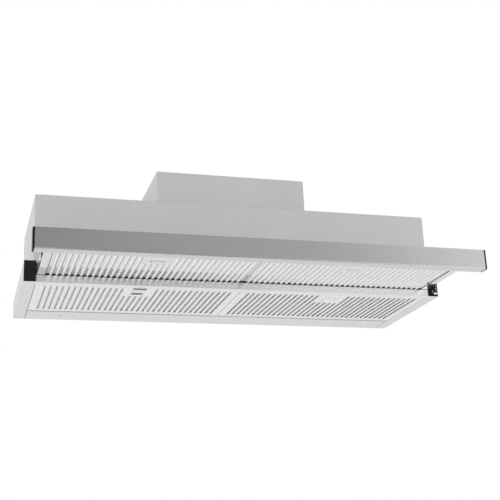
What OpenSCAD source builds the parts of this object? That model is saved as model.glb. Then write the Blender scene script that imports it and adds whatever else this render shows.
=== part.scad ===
// Pull out range hood, drawn with its filter drawer pulled fully out.
// X runs to the right, Y towards the wall and Z up. The origin is the middle of
// the tray's rear bottom edge, on the wall.

/* [Tray] */
// Width of the tray and of the front panel
hood_w = 898; // [840:1:1000]
// Depth of the tray, from its front face to the wall
tray_d = 298; // [292:1:320]
// Height of the tray's side channels
tray_h = 38; // [37.5:0.5:40]
// Width of each side channel
channel_w = 24.5; // [22:0.5:28]
// Thickness of the sheet steel
sheet = 0.8; // [0.6:0.1:1]
// Height of the front rail
rail_h = 14.3; // [10:0.1:14.4]
// Depth of the front rail's bottom flange
rail_d = 18; // [14:0.5:22]
// Gap between neighbouring panels of the underside
seam = 1.2; // [0.4:0.1:1.4]
// Gap between the underside's panels and the side channels
edge_gap = 1.2; // [0.8:0.1:1.5]

/* [Upper body] */
// Distance of the upper body's sides inside the tray's sides
body_inset = 20; // [17:0.5:24]
// Distance of the upper body's front behind the tray's front
body_set = 3; // [3:0.1:6]
// Distance of the upper body's back from the wall
body_gap = 10; // [8:0.5:12]
// Height of the upper body's top above the tray's bottom
body_top = 185.5; // [180:0.5:200]
// Height of the front plate's lower edge
front_z = 40; // [39:0.5:42]
// Depth of the folded edges inside the body
fold_d = 14; // [10:0.5:18]
// Radius of the cabinet fixing holes
fixing_r = 3; // [2.5:0.1:4]
// Distance of the fixing holes from the upper body's sides
fixing_in = 39; // [30:0.5:50]
// Spacing of the fixing holes from front to back
fixing_y = 180; // [150:1:200]

/* [Motor box] */
// Width of the motor box
motor_w = 335; // [300:1:360]
// Distance of the motor box behind the tray's front
motor_set = 54; // [44:0.5:56]
// Height of the motor box above the body
motor_h = 89.5; // [84:0.5:110]

/* [Duct outlet] */
// Outer radius of the outlet collar
collar_r = 75; // [72:0.5:78]
// Height of the outlet collar
collar_h = 25; // [20:0.5:40]
// Wall of the outlet collar
collar_t = 2; // [1.6:0.1:3]
// Distance of the collar's axis from the wall
collar_y = 103; // [100:0.5:110]
// Thickness of the damper flaps
flap_t = 1.2; // [0.8:0.1:2]
// Radius of the damper flaps' hinge rods
rod_r = 1.5; // [1.2:0.1:1.8]
// Height of the flap hinges above the collar's foot
flap_z = 8; // [7:0.5:12]

/* [Blower] */
// Distance of the fan axis from the wall
fan_y = 150; // [148:0.5:152]
// Height of the fan axis above the tray's bottom
fan_z = 137; // [136:0.5:140]
// Radius of the fan wheel
fan_r = 75; // [70:0.5:77]
// Width of the fan wheel
fan_w = 112; // [100:1:120]
// Number of fan blades
blade_n = 30; // [20:1:36]
// Chord of a fan blade
blade_d = 14; // [12:0.5:15]
// Least gap between the fan wheel and the scroll
fan_gap = 7; // [6:0.5:9]
// Gap between the scroll and the closed drawer
scroll_lift = 2.5; // [2:0.5:4]
// Wall of the scroll
scroll_t = 1.5; // [1.2:0.1:2]
// Radius of the scroll's inlets
inlet_r = 60; // [56:0.5:61]
// Height of the scroll's throat above the tray's bottom
throat_z = 218; // [214:1:224]
// Radius of the motor
motor_r = 42; // [36:0.5:46]
// Radius of the motor shaft
shaft_r = 4; // [3:0.1:5]
// Radius of the run capacitor
capacitor_r = 15; // [12:0.5:18]

/* [Drawer] */
// Travel of the drawer
travel = 195; // [170:1:197]
// Gap between the closed drawer's panel and the tray
stop_gap = 1.5; // [1.2:0.1:2]
// Gap between the drawer and the corner blocks
drawer_gap = 2; // [1.5:0.1:5]
// Gap between the drawer's filters and its side strips
filter_gap = 1.6; // [1:0.1:2]
// Drop of the drawer's side strips below its filters
strip_drop = 1.5; // [0.5:0.1:1.8]
// Height of the drawer's underside above the tray's bottom
drawer_z = 16.5; // [16:0.1:17]
// Height of the drawer's frame
drawer_h = 20; // [19.6:0.1:21]
// Width that the slides take beside the drawer
slide_w = 13.3; // [12.8:0.1:15]
// Height of the fixed slide members
slide_h = 17; // [16:0.1:17.2]
// Length of each slide member
slide_len = 265; // [255:1:268]
// Thickness of the slide members
slide_t = 1; // [0.8:0.1:1.2]
// Running gap between the slide members
slide_gap = 0.3; // [0.25:0.01:0.4]
// Height of the front panel
panel_h = 41.5; // [40.5:0.1:44]
// Depth of the front panel
panel_d = 22.5; // [18:0.5:26]
// Drop of the front panel below the tray's bottom
panel_drop = 2; // [1:0.1:3]
// Thickness of the front panel's skin
skin = 1; // [0.8:0.1:1.5]
// Radius of the front panel's folded edges
fold_r = 2.8; // [1.2:0.1:3.2]
// Width of the panel's end caps
cap_w = 3.5; // [3:0.1:6]
// Depth of the drawer's front beam
beam_d = 35; // [30:0.5:40]
// Depth of the drawer's rear beam
rear_beam_d = 38.5; // [30:0.5:39]

/* [Filters] */
// Depth of a filter cassette
filter_d = 204.5; // [190:0.5:205]
// Height of a filter cassette
filter_h = 8.5; // [7.5:0.1:9]
// Distance between neighbouring slots
pitch = 12.03; // [11:0.01:12.2]
// Least distance of the beads from a cassette's sides
slot_in = 9.5; // [8:0.5:16]
// Width of a slot in a tray filter
slot_w = 6.5; // [4:0.1:7]
// Rise of the louvre over a slot
louvre_h = 2.8; // [2:0.1:3.2]
// Distance of the slots from a cassette's front
slot_y = 7; // [6:0.5:9]
// Distance of the slots from a cassette's rear
slot_back = 16.5; // [15:0.5:20]
// Number of slots cut short behind a latch
short_n = 5; // [3:2:5]
// Radius of the beads on the drawer filters
bead_r = 3.5; // [2.5:0.1:3.8]
// Height of the beads below a drawer filter's face
bead_h = 1.5; // [1:0.1:1.6]
// Width of the air gap beside each bead
air_gap = 1.6; // [0.8:0.1:2]
// Thickness of the grease mesh
mesh_t = 1.6; // [1.2:0.1:2]
// Radius of the hinge pins of the tray filters
pin_r = 1; // [0.8:0.05:1.1]
// Width of a latch
latch_w = 28; // [24:0.5:32]
// Length of a latch
latch_d = 43; // [38:0.5:45]
// Travel of a latch
latch_travel = 4; // [3:0.5:5]

/* [Controls] */
// Height of the corner blocks
block_h = 44; // [42:0.5:48]
// Depth of the corner blocks
block_d = 30; // [24:0.5:36]
// Width of a push button
button_w = 13.6; // [11:0.1:14]
// Height of a push button
button_h = 4.6; // [4:0.1:5]
// Distance between neighbouring buttons
button_pitch = 7.5; // [7:0.1:8]
// Travel of a push button
button_travel = 1.2; // [0.8:0.1:1.5]
// Height of a button above the block's face
button_proud = 0.6; // [0.3:0.1:0.9]

/* [Fasteners and cable] */
// Radius of the screw heads
screw_r = 2.5; // [2:0.1:3]
// Radius of the internal cable
cable_r = 2.5; // [2:0.1:3]
// Radius of the gland's bore for the supply cord
gland_r = 4; // [3:0.1:4.5]

/* [Hidden] */
$fn = 64;

half_w = hood_w / 2;
tray_front = -tray_d;
channel_in = half_w - channel_w;
strip_edge = channel_in - edge_gap;
body_half = half_w - body_inset;
body_front = tray_front + body_set;
body_back = -body_gap;
box_half = motor_w / 2;
box_front = tray_front + motor_set;
box_top = body_top + motor_h;
clear = 0.3;

// Slides and drawer, in the pulled out place
panel_back = tray_front - stop_gap - travel;
panel_front = panel_back - panel_d;
panel_top = panel_h - panel_drop;
steel_half = half_w - cap_w;
drawer_edge = channel_in - drawer_gap;
wall_x = channel_in - slide_w;
slide_front = tray_front + 12;
slide_z = drawer_z + sheet + (drawer_h - sheet - slide_h) / 2 + 0.1;
drawer_top = drawer_z + drawer_h;
cell_gap = 0.5;
tray_cell_y = tray_front + rail_d + cell_gap;
drawer_cell_y = panel_back + beam_d + cell_gap;
rear_beam_y = drawer_cell_y + filter_d + cell_gap;
drawer_back = rear_beam_y + rear_beam_d;
drawer_cell_edge = wall_x - 4 - filter_gap;
strip_z = drawer_z - strip_drop;

// Filter cassettes, measured from the seam and from their own front edge
tray_cell_w = strip_edge - seam / 2;
drawer_cell_w = drawer_cell_edge - seam / 2;
slot_n = 2 * floor((drawer_cell_w - 2 * slot_in) / pitch / 2) + 1;
slot_len = filter_d - slot_y - slot_back;
slot_run = (slot_n - 1) * pitch;
slot_x = (tray_cell_w - slot_run) / 2 + 0.4;
slot_end = slot_y + slot_len;
bead_x = (drawer_cell_w - slot_run) / 2 + 0.7;
bead_half = sqrt(bead_h * (2 * bead_r - bead_h));
gap_shift = bead_half + 0.2 + air_gap / 2;
latch_mid = (slot_n - 1) / 2 * pitch;
latch_y = 3;
short_y = latch_y + latch_d + latch_travel + 13;
guide = 3;
pivot_y = tray_cell_y + filter_d - 0.3;
strip_d = -pivot_y - 2.4;
pivot_z = 2;
ear_t = 2;

// Scroll, which grows from its tongue until it just clears the closed drawer
scroll_a = 62;
side_gap = 10;
scroll_low = fan_z - drawer_top - scroll_lift - scroll_t;
scroll_rise = (scroll_low - fan_r - fan_gap) * (360 - scroll_a) / (270 - scroll_a);
scroll_max = fan_r + fan_gap + scroll_rise;
tongue_y = (fan_r + fan_gap) * cos(scroll_a);
scroll_half = fan_w / 2 + side_gap;
duct_r = collar_r - collar_t;

// Control block
button_x = half_w - 14.5;
button_z = 17.5;
front_wall = 2;
flange = 1;

module slab(lo, hi) {
    translate(lo) cube(hi - lo);
}

// Draws its children as they are on the right, mirrored on the left
module on_side(left) {
    if (left) mirror([1, 0, 0]) children();
    else children();
}

module on_both_sides() {
    children();
    mirror([1, 0, 0]) children();
}

// A rod along X, Y or Z from a point
module rod_x(p, r, l) {
    translate(p) rotate([0, 90, 0]) cylinder(r = r, h = l);
}

module rod_y(p, r, l) {
    translate(p) rotate([-90, 0, 0]) cylinder(r = r, h = l);
}

module rod_z(p, r, l) {
    translate(p) cylinder(r = r, h = l);
}

// Extrudes a profile drawn in Y and Z along X
module along_x(x0, x1) {
    translate([x0, 0, 0]) rotate([90, 0, 90]) linear_extrude(x1 - x0) children();
}

// Folded channel that carries the slides and closes the tray's side
module tray_side(left) {
    color("gainsboro") on_side(left) difference() {
        union() {
            slab([half_w - sheet, tray_front, 0], [half_w, -sheet, tray_h]);
            slab([channel_in, tray_front, 0], [half_w, -sheet, sheet]);
            slab([channel_in, tray_front + block_d, 0], [channel_in + sheet, -sheet, tray_h]);
        }
        rod_x([channel_in - 1, cable_back, cable_low], cable_r + clear, 4);
    }
}

// Front rail under the drawer, with a flange that the filters close against
module front_rail() {
    color("silver") {
        slab([-channel_in, tray_front, 0], [channel_in, tray_front + sheet, rail_h]);
        slab([-channel_in, tray_front, 0], [channel_in, tray_front + rail_d, sheet]);
        slab([-channel_in, tray_front, rail_h - sheet], [channel_in, tray_front + rail_top_d, rail_h]);
    }
}

rail_top_d = 8;

// Rear wall and bottom strip, hemmed down in front, with three ears for the
// filters' hinge pins
module rear_panel() {
    color("gainsboro") difference() {
        union() {
            slab([-half_w, -sheet, 0], [half_w, 0, tray_h]);
            slab([-strip_edge, -strip_d, 0], [strip_edge, 0, sheet]);
            slab([-strip_edge, -strip_d, -hem], [strip_edge, sheet - strip_d, sheet]);
            hinge_ear(-ear_t * 0.75, ear_t * 1.5);
            on_both_sides() hinge_ear(strip_edge - ear_t, ear_t);
        }
        on_both_sides() rod_z([strip_screw_x, strip_screw_y, -1], shank_r + 0.2, 4);
        rod_x([-half_w, pivot_y, pivot_z], pin_r + 0.08, hood_w);
    }
}

module hinge_ear(x, t) {
    rod_x([x, pivot_y, pivot_z], pivot_z - 0.1, t);
    slab([x, pivot_y, pivot_z - 1], [x + t, ear_d - strip_d, pivot_z + 1]);
    slab([x, -strip_d, 0], [x + t, ear_d - strip_d, pivot_z]);
}

ear_d = 6;
hem = 1.2;

strip_screw_in = 100;
strip_screw_x = half_w - strip_screw_in;
strip_screw_y = -strip_d / 2;

hem_d = 8;

// Front plate of the upper body, hemmed below and folded back at both sides
module body_front_plate() {
    color("silver") difference() {
        union() {
            slab([-body_half, body_front, front_z], [body_half, body_front + sheet, body_top - sheet]);
            slab([-body_half + sheet, body_front, front_z],
                [body_half - sheet, body_front + hem_d, front_z + sheet]);
            on_both_sides() slab([body_half - 2 * sheet, body_front, front_z],
                [body_half - sheet, body_front + sheet + fold_d, body_top - sheet]);
        }
        side_screw_holes();
    }
}

// Back plate of the upper body, folded out to the wall below
module body_back_plate() {
    color("silver") difference() {
        union() {
            slab([-body_half, body_back - sheet, tray_h], [body_half, body_back, body_top - sheet]);
            slab([-body_half, body_back - sheet, tray_h], [body_half, 0, tray_h + sheet]);
            on_both_sides() slab([body_half - 2 * sheet, body_back - sheet - fold_d, tray_h + sheet],
                [body_half - sheet, body_back, body_top - sheet]);
        }
        side_screw_holes();
    }
}

// Side plate of the upper body, folded out over the tray's channel
module body_side(left) {
    color("gainsboro") on_side(left) difference() {
        union() {
            slab([body_half - sheet, body_front + sheet, tray_h],
                [body_half, body_back - sheet, body_top - sheet]);
            slab([body_half - sheet, body_front + sheet, tray_h],
                [half_w, body_back - sheet, tray_h + sheet]);
            slab([body_half, body_back - 2 * sheet, tray_h], [half_w, 0, tray_h + sheet]);
        }
        side_screw_holes();
    }
}

// Top plate with the opening under the motor box and the cabinet fixing holes
module body_top_plate() {
    color("silver") difference() {
        slab([-body_half, body_front, body_top - sheet], [body_half, body_back, body_top]);
        slab([-box_half + fold_d, box_front + fold_d, body_top - 2],
            [box_half - fold_d, body_back - fold_d, body_top + 1]);
        for (x = [-1, 1], y = [-1, 1])
            rod_z([x * (body_half - fixing_in), fixing_mid + y * fixing_y / 2, body_top - 2], fixing_r, 4);
        rod_z([terminal_x, cable_up, body_top - 2], cable_r + clear, 4);
    }
}

fixing_mid = (body_front + body_back) / 2;
screw_at = [for (y = [body_front + fold_d - 1, body_back - fold_d + 5],
    z = [front_z + 22, body_top - 25.5]) [y, z]];

module side_screw_holes() {
    for (p = screw_at)
        rod_x([-body_half - 1, p[0], p[1]], shank_r + 0.1, 2 * body_half + 2);
}

// Pan head screw with its head at x = 0 and its shank along -X
shank_r = 1.4;
shank_l = 6;
head_h = 1.6;

module pan_screw() {
    rod_x([0, 0, 0], screw_r, head_h);
    rod_x([-shank_l, 0, 0], shank_r, shank_l);
}

// Screws of the upper body's sides and of the rear strip
module body_screws() {
    color("dimgray") on_both_sides() {
        for (p = screw_at)
            translate([body_half, p[0], p[1]]) pan_screw();
        translate([strip_screw_x, strip_screw_y, 0]) rotate([0, 90, 0]) pan_screw();
    }
}

foot_w = 10;

// Front and sides of the motor box in one folded sheet, with feet on the top plate
module motor_box_wrap() {
    color("silver") {
        slab([-box_half, box_front, body_top], [box_half, box_front + sheet, box_top - sheet]);
        slab([-box_half - foot_w, box_front - foot_w, body_top],
            [box_half + foot_w, box_front + sheet, body_top + sheet]);
        on_both_sides() {
            slab([box_half - sheet, box_front, body_top], [box_half, body_back - sheet, box_top - sheet]);
            slab([box_half - sheet, box_front, body_top],
                [box_half + foot_w, body_back - sheet, body_top + sheet]);
        }
    }
}

module motor_box_back() {
    color("silver") {
        slab([-box_half, body_back - sheet, body_top], [box_half, body_back, box_top - sheet]);
        slab([-box_half + sheet, body_back - foot_w, body_top],
            [box_half - sheet, body_back, body_top + sheet]);
    }
}

module motor_box_lid() {
    color("silver") difference() {
        slab([-box_half, box_front, box_top - sheet], [box_half, body_back, box_top]);
        rod_z([0, -collar_y, box_top - 2], duct_r, 4);
    }
}

// Outlet collar with the holes of the flap hinges
module outlet_collar() {
    color("dimgray") translate([0, -collar_y, box_top]) difference() {
        union() {
            cylinder(r = collar_r, h = collar_h, $fn = 96);
            cylinder(r = collar_r + collar_flange, h = 1.5, $fn = 96);
        }
        translate([0, 0, -1]) cylinder(r = duct_r, h = collar_h + 2, $fn = 96);
        for (x = [-hinge_x, hinge_x])
            rod_y([x, -collar_r - 1, flap_z], rod_r + 0.08, 2 * collar_r + 2);
    }
}

hinge_x = rod_r + 0.8;
collar_flange = 8;

// Half round flap on a rod across the collar
module damper_flap(left) {
    color("dimgray") on_side(left) translate([0, -collar_y, box_top + flap_z]) {
        rod_y([hinge_x, -collar_r + 0.4, 0], rod_r, 2 * collar_r - 0.8);
        translate([0, 0, -flap_t / 2]) linear_extrude(flap_t) intersection() {
            circle(duct_r - 0.8, $fn = 96);
            translate([hinge_x, -collar_r]) square([collar_r, 2 * collar_r]);
        }
    }
}

// Outline of the scroll in Y and Z, t outside its inner face and up to height top
function scroll_radius(a) =
    fan_r + fan_gap + scroll_rise * (a - scroll_a) / (360 - scroll_a);

module scroll_outline(t, top) {
    start = acos((tongue_y - t) / (fan_r + fan_gap + t));
    translate([-fan_y, fan_z]) polygon(concat(
        [for (i = [0:48])
            let (a = start + i * (360 - start) / 48)
            (scroll_radius(a) + t) * [cos(a), sin(a)]],
        [[scroll_max + t, top - fan_z], [tongue_y - t, top - fan_z]]));
}

// Half of the blower's scroll, with its inlet ring
module scroll_half(left) {
    color("lightslategray") on_side(left) difference() {
        union() {
            difference() {
                along_x(0, scroll_half) scroll_outline(scroll_t, throat_z);
                along_x(-1, scroll_half - 2) scroll_outline(0, throat_z + 1);
            }
            rod_x([scroll_half - 8, -fan_y, fan_z], inlet_r + 2, 8);
        }
        rod_x([scroll_half - 10, -fan_y, fan_z], inlet_r, 20);
    }
}

// Duct between the scroll's throat and the lid's bore
module transition_form(t) {
    hull() {
        translate([-scroll_half + 2 - t, -fan_y + tongue_y - t, throat_z - (t > 0 ? 0 : 1)])
            cube([2 * (scroll_half - 2 + t), scroll_max - tongue_y + 2 * t, 1]);
        translate([0, -collar_y, box_top - sheet - (t > 0 ? 1 : 0)])
            cylinder(r = duct_r - 2 + t, h = 1, $fn = 48);
    }
}

module outlet_transition() {
    color("lightslategray") difference() {
        transition_form(scroll_t);
        transition_form(0);
    }
}

// Double inlet fan wheel with its hub disc
module fan_wheel() {
    color("slategray") translate([0, -fan_y, fan_z]) difference() {
        union() {
            along_x(-fan_w / 2, fan_w / 2) for (i = [0:blade_n - 1])
                rotate(i * 360 / blade_n) translate([fan_r - blade_d / 2 - 0.6, 0]) rotate(28)
                    square([blade_d, 1.2], center = true);
            for (x = [-fan_w / 2, fan_w / 2 - 2])
                along_x(x, x + 2) difference() {
                    circle(fan_r, $fn = 96);
                    circle(fan_r - blade_d + 2, $fn = 96);
                }
            rod_x([hub_x, 0, 0], fan_r - 1, 2);
            rod_x([hub_x, 0, 0], shaft_r + 8, hub_l);
        }
        rod_x([hub_x - 1, 0, 0], shaft_r, hub_l + 2);
    }
}

hub_x = 8;
hub_l = 14;

module motor_shaft() {
    color("lightgray") rod_x([-shaft_in, -fan_y, fan_z], shaft_r, shaft_in + hub_x + hub_l + 2);
}

// Motor inside the wheel's left inlet, with a narrower cap at each end
cap_step = 6;
cap_l = 8;
boss_l = 3;
shaft_in = 30;

module motor() {
    color("darkgray") translate([0, -fan_y, fan_z]) difference() {
        union() {
            rod_x([-scroll_half, 0, 0], motor_r - cap_step, scroll_half);
            rod_x([cap_l - scroll_half, 0, 0], motor_r, scroll_half - 2 * cap_l);
            rod_x([0, 0, 0], shaft_r + 6, boss_l);
        }
        rod_x([-shaft_in - 10, 0, 0], shaft_r + 0.06, shaft_in + 10 + boss_l + 1);
    }
}

ring_w = 8;
plate_r = 26;
arm_w = 10;

// Ring and three arms that hold the motor in the inlet
module motor_bracket() {
    color("gray") translate([0, -fan_y, fan_z]) along_x(-scroll_half - 2, -scroll_half) {
        difference() {
            circle(inlet_r + ring_w);
            circle(inlet_r);
        }
        circle(plate_r);
        for (a = [90, 210, 330])
            rotate(a) translate([plate_r - 6, -arm_w / 2]) square([inlet_r - plate_r + 10, arm_w]);
    }
}

capacitor_h = 52;

// Run capacitor clipped to the scroll's right side
module run_capacitor() {
    y = -fan_y - inlet_r - capacitor_r - 2;
    color("whitesmoke") {
        rod_z([scroll_half + capacitor_r + 2, y, fan_z - 22], capacitor_r, capacitor_h);
        slab([scroll_half, y - 6, fan_z - 8], [scroll_half + 6, y + 6, fan_z + 8]);
    }
}

// Terminal box on the body's top
terminal_w = 60;
terminal_x = -box_half - terminal_w / 2 - 32.5;
terminal_d = 56;
terminal_h = 32;
terminal_wall = 2;
gland_z = body_top + terminal_h / 2;
gland_l = 16;
terminal_y = body_back - 6 - terminal_d;
cable_up = terminal_y + terminal_d / 2;

module terminal_box() {
    color("dimgray") difference() {
        slab([terminal_x - terminal_w / 2, terminal_y, body_top],
            [terminal_x + terminal_w / 2, terminal_y + terminal_d, body_top + terminal_h]);
        slab([terminal_x - terminal_w / 2 + terminal_wall, terminal_y + terminal_wall,
            body_top + terminal_wall],
            [terminal_x + terminal_w / 2 - terminal_wall, terminal_y + terminal_d - terminal_wall,
                body_top + terminal_h + 1]);
        rod_z([terminal_x, cable_up, body_top - 1], cable_r + clear, terminal_wall + 2);
        rod_x([terminal_x - terminal_w / 2 - 1, cable_up, gland_z], gland_r + 2, terminal_wall + 2);
    }
}

module terminal_lid() {
    color("dimgray") {
        slab([terminal_x - terminal_w / 2 - 1, terminal_y - 1, body_top + terminal_h],
            [terminal_x + terminal_w / 2 + 1, terminal_y + terminal_d + 1, body_top + terminal_h + 2]);
        translate([terminal_x, cable_up, body_top + terminal_h + 2]) cylinder(r = screw_r + 0.5, h = 1.4);
    }
}

// Gland that takes the supply cord
module cable_gland() {
    color("black") translate([terminal_x - terminal_w / 2, cable_up, gland_z]) difference() {
        union() {
            rod_x([-3, 0, 0], gland_r + 5, 3);
            rod_x([-gland_l, 0, 0], gland_r + 3, gland_l);
            rod_x([-1, 0, 0], gland_r + 2, gland_l / 2);
        }
        rod_x([-gland_l - 1, 0, 0], gland_r, 2 * gland_l);
    }
}

// Cable from the control board along the right channel to the terminal box
cable_low = slide_z + slide_h / 2;
cable_high = body_top - 14;
cable_back = -15;
cable_in = channel_in - 9;
cable_x = channel_in + channel_w / 2;
cable_path = [[cable_x, tray_front + block_d, cable_low], [cable_x, cable_back, cable_low],
    [cable_in, cable_back, cable_low], [cable_in, cable_back, cable_high],
    [terminal_x, cable_back, cable_high], [terminal_x, cable_up, cable_high],
    [terminal_x, cable_up, body_top + 4]];

module control_cable() {
    color("black") for (i = [0:len(cable_path) - 2]) {
        a = cable_path[i];
        d = cable_path[i + 1] - a;
        l = norm(d);
        if (i > 0) translate(a) sphere(r = cable_r, $fn = 24);
        translate(a) rotate([0, acos(d[2] / l), atan2(d[1], d[0])]) cylinder(r = cable_r, h = l, $fn = 24);
    }
}

// Body of a corner block: a spigot in the channel behind a taller face
module block_form() {
    slab([channel_in, tray_front, sheet], [half_w - sheet, tray_front + block_d, tray_h]);
    slab([channel_in, tray_front, sheet], [half_w - sheet, tray_front + body_set - 0.2, block_h]);
}

module corner_block() {
    color("black") mirror([1, 0, 0]) difference() {
        block_form();
        slab([channel_in + 2.4, tray_front + front_wall, sheet + 2],
            [half_w - sheet - 2.4, tray_front + block_d + 1, tray_h - 2]);
    }
}

// Right corner block, hollow, with windows for the buttons and the lens
module control_housing() {
    color("black") difference() {
        block_form();
        slab([button_x - button_w / 2 - flange - clear, tray_front + front_wall, sheet + 2],
            [half_w - sheet - 1.4, tray_front + block_d + 1, tray_h - 1]);
        for (i = [0:2])
            button_block(i, button_w / 2 + 0.2, button_h / 2 + 0.2, tray_front - 1, tray_front + 4);
        slab([lens_x, tray_front - 1, lens_z], [lens_x + 5.2, tray_front + 4, lens_z + 2.4]);
    }
}

lens_x = half_w - 7.4;
lens_z = 6.6;

module button_block(i, rx, rz, y0, y1) {
    z = button_z + i * button_pitch;
    slab([button_x - rx, y0, z - rz], [button_x + rx, y1, z + rz]);
}

// Push button: a cap in its window and a flange behind the wall
module button(i) {
    color("dimgray") {
        button_block(i, button_w / 2, button_h / 2, tray_front - button_proud, tray_front + 4);
        button_block(i, button_w / 2 + flange, button_h / 2 + flange / 2,
            tray_front + front_wall + clear, tray_front + 4);
    }
}

// Circuit board with a switch behind each button
module control_board() {
    board_y = tray_front + 12;
    color("seagreen") {
        slab([button_x - button_w / 2 - flange - clear, board_y, sheet + 2],
            [half_w - sheet - 1.4, board_y + 1.6, tray_h - 1]);
        for (i = [0:2])
            button_block(i, 3, 1.8, tray_front + 4 + button_travel + clear, board_y);
        slab([lens_x + 0.6, tray_front + 3.6, lens_z + 0.2], [lens_x + 4.6, board_y, lens_z + 2.2]);
    }
}

module indicator_lens() {
    color("white") {
        slab([lens_x, tray_front - 0.2, lens_z], [lens_x + 5.2, tray_front + front_wall, lens_z + 2.4]);
        slab([lens_x - 0.8, tray_front + front_wall, lens_z - 0.8],
            [lens_x + 5.2, tray_front + front_wall + 1, lens_z + 3.2]);
    }
}

// Slide member k, from the fixed one on the channel to the one on the drawer:
// a C profile whose flanges reach towards the drawer, or away from it on the last
module slide_member(k, y) {
    step = slide_t + slide_gap;
    z0 = slide_z + k * step;
    z1 = slide_z + slide_h - k * step;
    x0 = k < 2 ? wall_x + 1.3 : wall_x;
    x1 = k < 2 ? channel_in - k * step : wall_x + 4.5;
    web = k < 2 ? x1 - slide_t : x0;
    slab([web, y, z0], [web + slide_t, y + slide_len, z1]);
    slab([x0, y, z0], [x1, y + slide_len, z0 + slide_t]);
    slab([x0, y, z1 - slide_t], [x1, y + slide_len, z1]);
}

module slide_fixed(left) {
    color("lightsteelblue") on_side(left) slide_member(0, slide_front);
}

module slide_middles() {
    color("lightsteelblue") on_both_sides() slide_member(1, slide_front - travel / 2);
}

module slide_moving(left) {
    color("lightsteelblue") on_side(left) slide_member(2, slide_front - travel);
}

lip_d = 10;

// Side wall of the drawer with the upturned strip that hides the slide from below
module drawer_side(left) {
    color("gainsboro") on_side(left) {
        slab([wall_x - sheet, panel_back, strip_z], [wall_x, drawer_back, drawer_top - sheet]);
        slab([drawer_cell_edge + filter_gap, panel_back, strip_z],
            [drawer_edge, drawer_back, strip_z + sheet]);
        slab([drawer_edge - sheet, panel_back, strip_z], [drawer_edge, drawer_back, slide_z - clear]);
        slab([wall_x - lip_d, panel_back, drawer_top - 2 * sheet],
            [wall_x, drawer_back, drawer_top - sheet]);
    }
}

web_in = 12;
front_web_h = 7;
rear_web_h = 9;

module drawer_front_beam() {
    color("silver") {
        slab([-drawer_cell_edge, panel_back, drawer_z],
            [drawer_cell_edge, panel_back + beam_d, drawer_z + sheet]);
        slab([-wall_x + sheet, panel_back, drawer_z + sheet],
            [wall_x - sheet, panel_back + sheet, drawer_top - 2 * sheet]);
        slab([-drawer_cell_edge, panel_back + beam_d - web_in, drawer_z],
            [drawer_cell_edge, panel_back + beam_d - web_in + sheet, drawer_z + front_web_h]);
    }
}

module drawer_rear_beam() {
    color("silver") {
        slab([-drawer_cell_edge, rear_beam_y, drawer_z], [drawer_cell_edge, drawer_back, drawer_z + sheet]);
        slab([-wall_x + sheet, drawer_back - sheet, drawer_z + sheet],
            [wall_x - sheet, drawer_back, drawer_z + rear_web_h]);
        slab([-drawer_cell_edge, drawer_back - sheet, drawer_z],
            [drawer_cell_edge, drawer_back, drawer_z + rear_web_h]);
    }
}

module drawer_top_plate() {
    color("silver") slab([-wall_x, panel_back, drawer_top - sheet], [wall_x, drawer_back, drawer_top]);
}

// Rectangle in Y and Z with both of its front corners rounded
module fold_plan(d, h, r) {
    translate([r, 0]) square([d - r, h]);
    translate([0, r]) square([d, h - 2 * r]);
    for (z = [r, h - r]) translate([r, z]) circle(r, $fn = 32);
}

// Profile of the front panel: front skin with folded returns above and below
module panel_profile(t) {
    translate([panel_front, -panel_drop]) difference() {
        fold_plan(panel_d, panel_h, fold_r);
        if (t > 0) translate([t, t]) fold_plan(panel_d, panel_h - 2 * t, fold_r - t);
    }
}

module front_panel() {
    color("darkgray") {
        along_x(-steel_half, steel_half) panel_profile(skin);
        slab([-steel_half, panel_back - skin, 0], [steel_half, panel_back, panel_top - skin]);
        slab([-steel_half, panel_back - skin, -panel_drop], [steel_half, panel_back, 6]);
    }
}

// Plastic cap that closes the panel's end, with a tenon inside the fold
module end_cap(left) {
    color("black") on_side(left) {
        along_x(steel_half, half_w) panel_profile(0);
        slab([steel_half - 8, panel_front + 2 * skin, 2 * skin - panel_drop],
            [steel_half, panel_back - skin - clear, panel_top - 2 * skin]);
    }
}

// Rubber bumpers on the panel's back, which meet the corner blocks
module panel_bumpers() {
    color("black") on_both_sides()
        rod_y([channel_in + 5, panel_back, 7], 3, stop_gap - 0.2);
}

// Front end of slot i, cut short behind the latch
function slot_start(i) = abs(i - (slot_n - 1) / 2) < short_n / 2 ? short_y : slot_y;

// Air gaps of a drawer filter in X and Y, beside its beads
module gap_row(shift) {
    for (i = [0:slot_n - 1]) {
        x = bead_x + i * pitch + shift;
        y0 = slot_start(i) + air_gap / 2;
        y1 = slot_end - air_gap / 2;
        translate([x - air_gap / 2, y0]) square([air_gap, y1 - y0]);
        for (y = [y0, y1]) translate([x, y]) circle(air_gap / 2, $fn = 24);
    }
}

// Slots of a tray filter in X and Y, with their corners cut
module slot_row() {
    a = slot_w / 2;
    c = slot_w / 2 - corner_cut;
    for (i = [0:slot_n - 1]) translate([slot_x + i * pitch, 0]) {
        y = slot_start(i);
        polygon([[-a, y + corner_cut], [-c, y], [c, y], [a, y + corner_cut],
            [a, slot_end - corner_cut], [c, slot_end], [-c, slot_end], [-a, slot_end - corner_cut]]);
    }
}

corner_cut = 1.2;

// Extrudes a profile drawn in X and Z along Y
module along_y(y0, y1) {
    translate([0, y1, 0]) rotate([90, 0, 0]) linear_extrude(y1 - y0) children();
}

mouth = 0.9;

// Louvre over a slot: a roof that rises to the right, closed at both ends
module louvre(y) {
    a = slot_w / 2;
    tip = a - mouth;
    far = a + 1;
    difference() {
        along_y(y - sheet, slot_end + sheet)
            polygon([[-a - sheet, 0], [tip, 0], [tip, louvre_h + sheet], [-a - sheet, sheet]]);
        along_y(y, slot_end)
            polygon([[-a, -1], [far, -1], [far, louvre_h * (far + a) / (tip + a)], [-a, 0]]);
    }
}

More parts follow.
